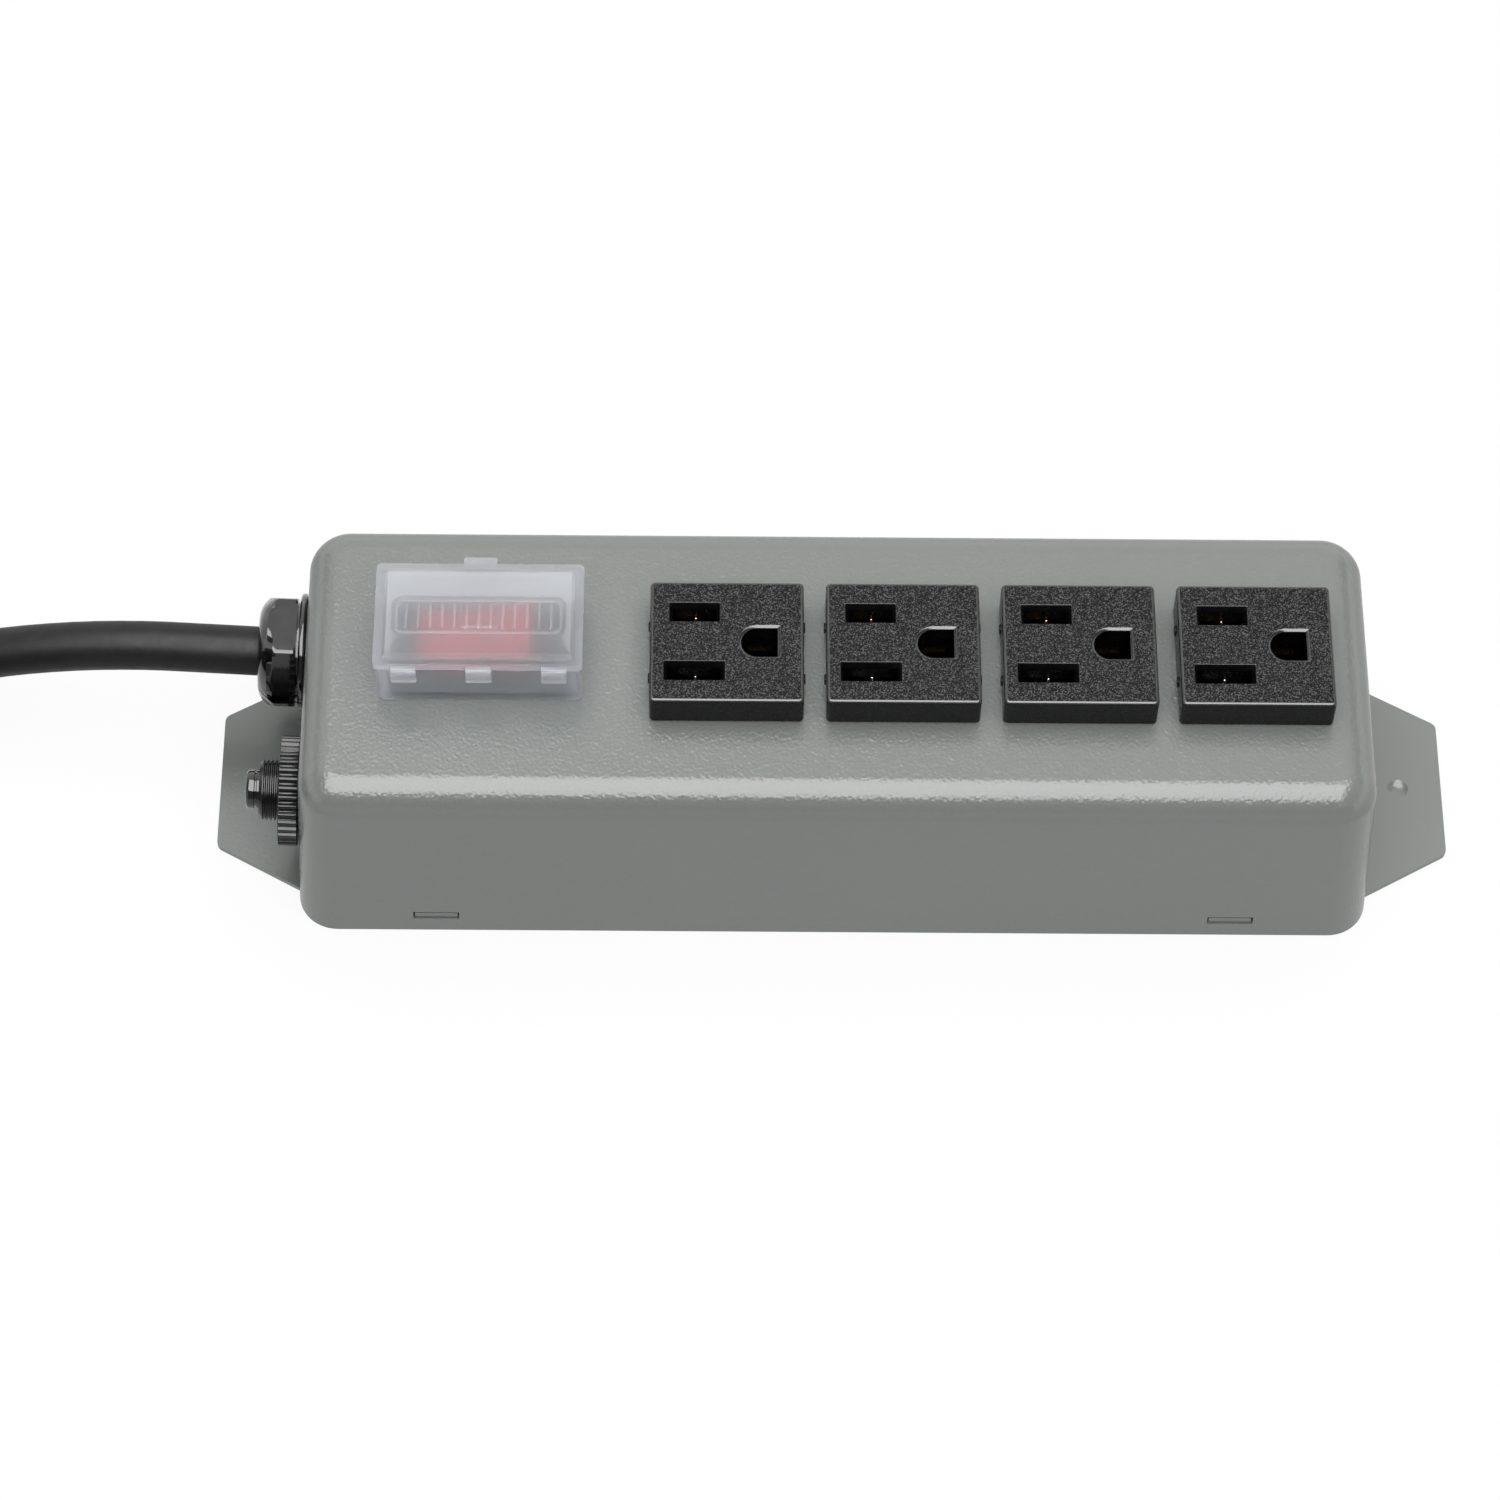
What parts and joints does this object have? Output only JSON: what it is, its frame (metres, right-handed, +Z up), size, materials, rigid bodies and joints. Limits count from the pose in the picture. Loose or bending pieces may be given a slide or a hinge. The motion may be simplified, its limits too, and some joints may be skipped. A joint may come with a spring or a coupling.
{
  "type": "power strip",
  "caption": "Metal-cased power strip with a hinged switch cover, rocker switch, push reset button, mounting flanges and a mains lead that is folded into a tied hank.",
  "frame": {"origin": "under the middle of the steel box, on the surface that the strip stands on", "axes": "+X along the strip away from the lead, +Y to the back, +Z up through the outlet faces"},
  "size_m": [0.4728, 0.0933, 0.058],
  "materials": {
    "housing_paint": "semi-gloss powder coat with a fine orange peel",
    "base_paint": "the same paint, flatter",
    "outlet_plastic": "spark-eroded grain on the face, smooth sides",
    "brass": "stamped brass",
    "insulation": "pressed fibre and plain plastic",
    "switch_plastic": "fine grain",
    "rocker_red": "glossy, slightly translucent",
    "cover_clear": "milky translucent polypropylene",
    "relief_plastic": "polished nylon",
    "breaker_plastic": "moulded phenolic",
    "bush_black": "black oxide thread",
    "steel": "zinc plated",
    "wire_black": "PVC insulation",
    "wire_white": "PVC insulation",
    "wire_green": "PVC insulation",
    "cord_jacket": "satin PVC jacket",
    "plug_plastic": "moulded PVC"
  },
  "bodies": {
    "strip": {"housing": "housing_paint", "base_plate": "base_paint", "outlet_1": "outlet_plastic", "outlet_2": "outlet_plastic", "outlet_3": "outlet_plastic", "outlet_4": "outlet_plastic", "line_contact_bar": "brass", "neutral_contact_bar": "brass", "ground_contact_bar": "brass", "contact_tray": "insulation", "insulating_sheet": "insulation", "switch_body": "switch_plastic", "switch_terminal_line": "brass", "switch_terminal_load": "brass", "cover_frame": "cover_clear", "strain_relief_upper": "relief_plastic", "strain_relief_lower": "relief_plastic", "breaker_body": "breaker_plastic", "breaker_bush": "bush_black", "breaker_nut": "breaker_plastic", "breaker_terminal_line": "brass", "breaker_terminal_load": "brass", "ground_stud": "steel", "ground_nut": "steel", "ground_ring_terminal": "brass", "line_wire_supply": "wire_black", "line_wire_switch": "wire_black", "line_wire_outlets": "wire_black", "neutral_wire": "wire_white", "ground_wire": "wire_green", "ground_wire_outlets": "wire_green", "cord_inner_end": "cord_jacket", "cord": "cord_jacket", "cord_coil": "cord_jacket", "cord_tie": "plug_plastic", "cord_end": "cord_jacket", "plug_body": "plug_plastic", "plug_blade_line": "brass", "plug_blade_neutral": "brass", "plug_ground_pin": "brass"},
    "lid": {"cover_lid": "cover_clear"},
    "rocker": {"switch_rocker": "rocker_red"},
    "button": {"reset_button": "breaker_plastic"}
  },
  "joints": [
    {"name": "cover_hinge", "type": "hinge", "parent": "strip", "child": "lid", "pos_m": [-0.0656, -0.0104, 0.05545], "axis": [1, 0, 0], "range_deg": [0, 170]},
    {"name": "rocker_pivot", "type": "hinge", "parent": "strip", "child": "rocker", "pos_m": [-0.0656, 0.0019, 0.0455], "axis": [0, 1, 0], "range_deg": [0, 20]},
    {"name": "reset_slide", "type": "slide", "parent": "strip", "child": "button", "axis": [-0.9984, 0, 0.0558], "range_m": [0, 0.0035]}
  ]
}
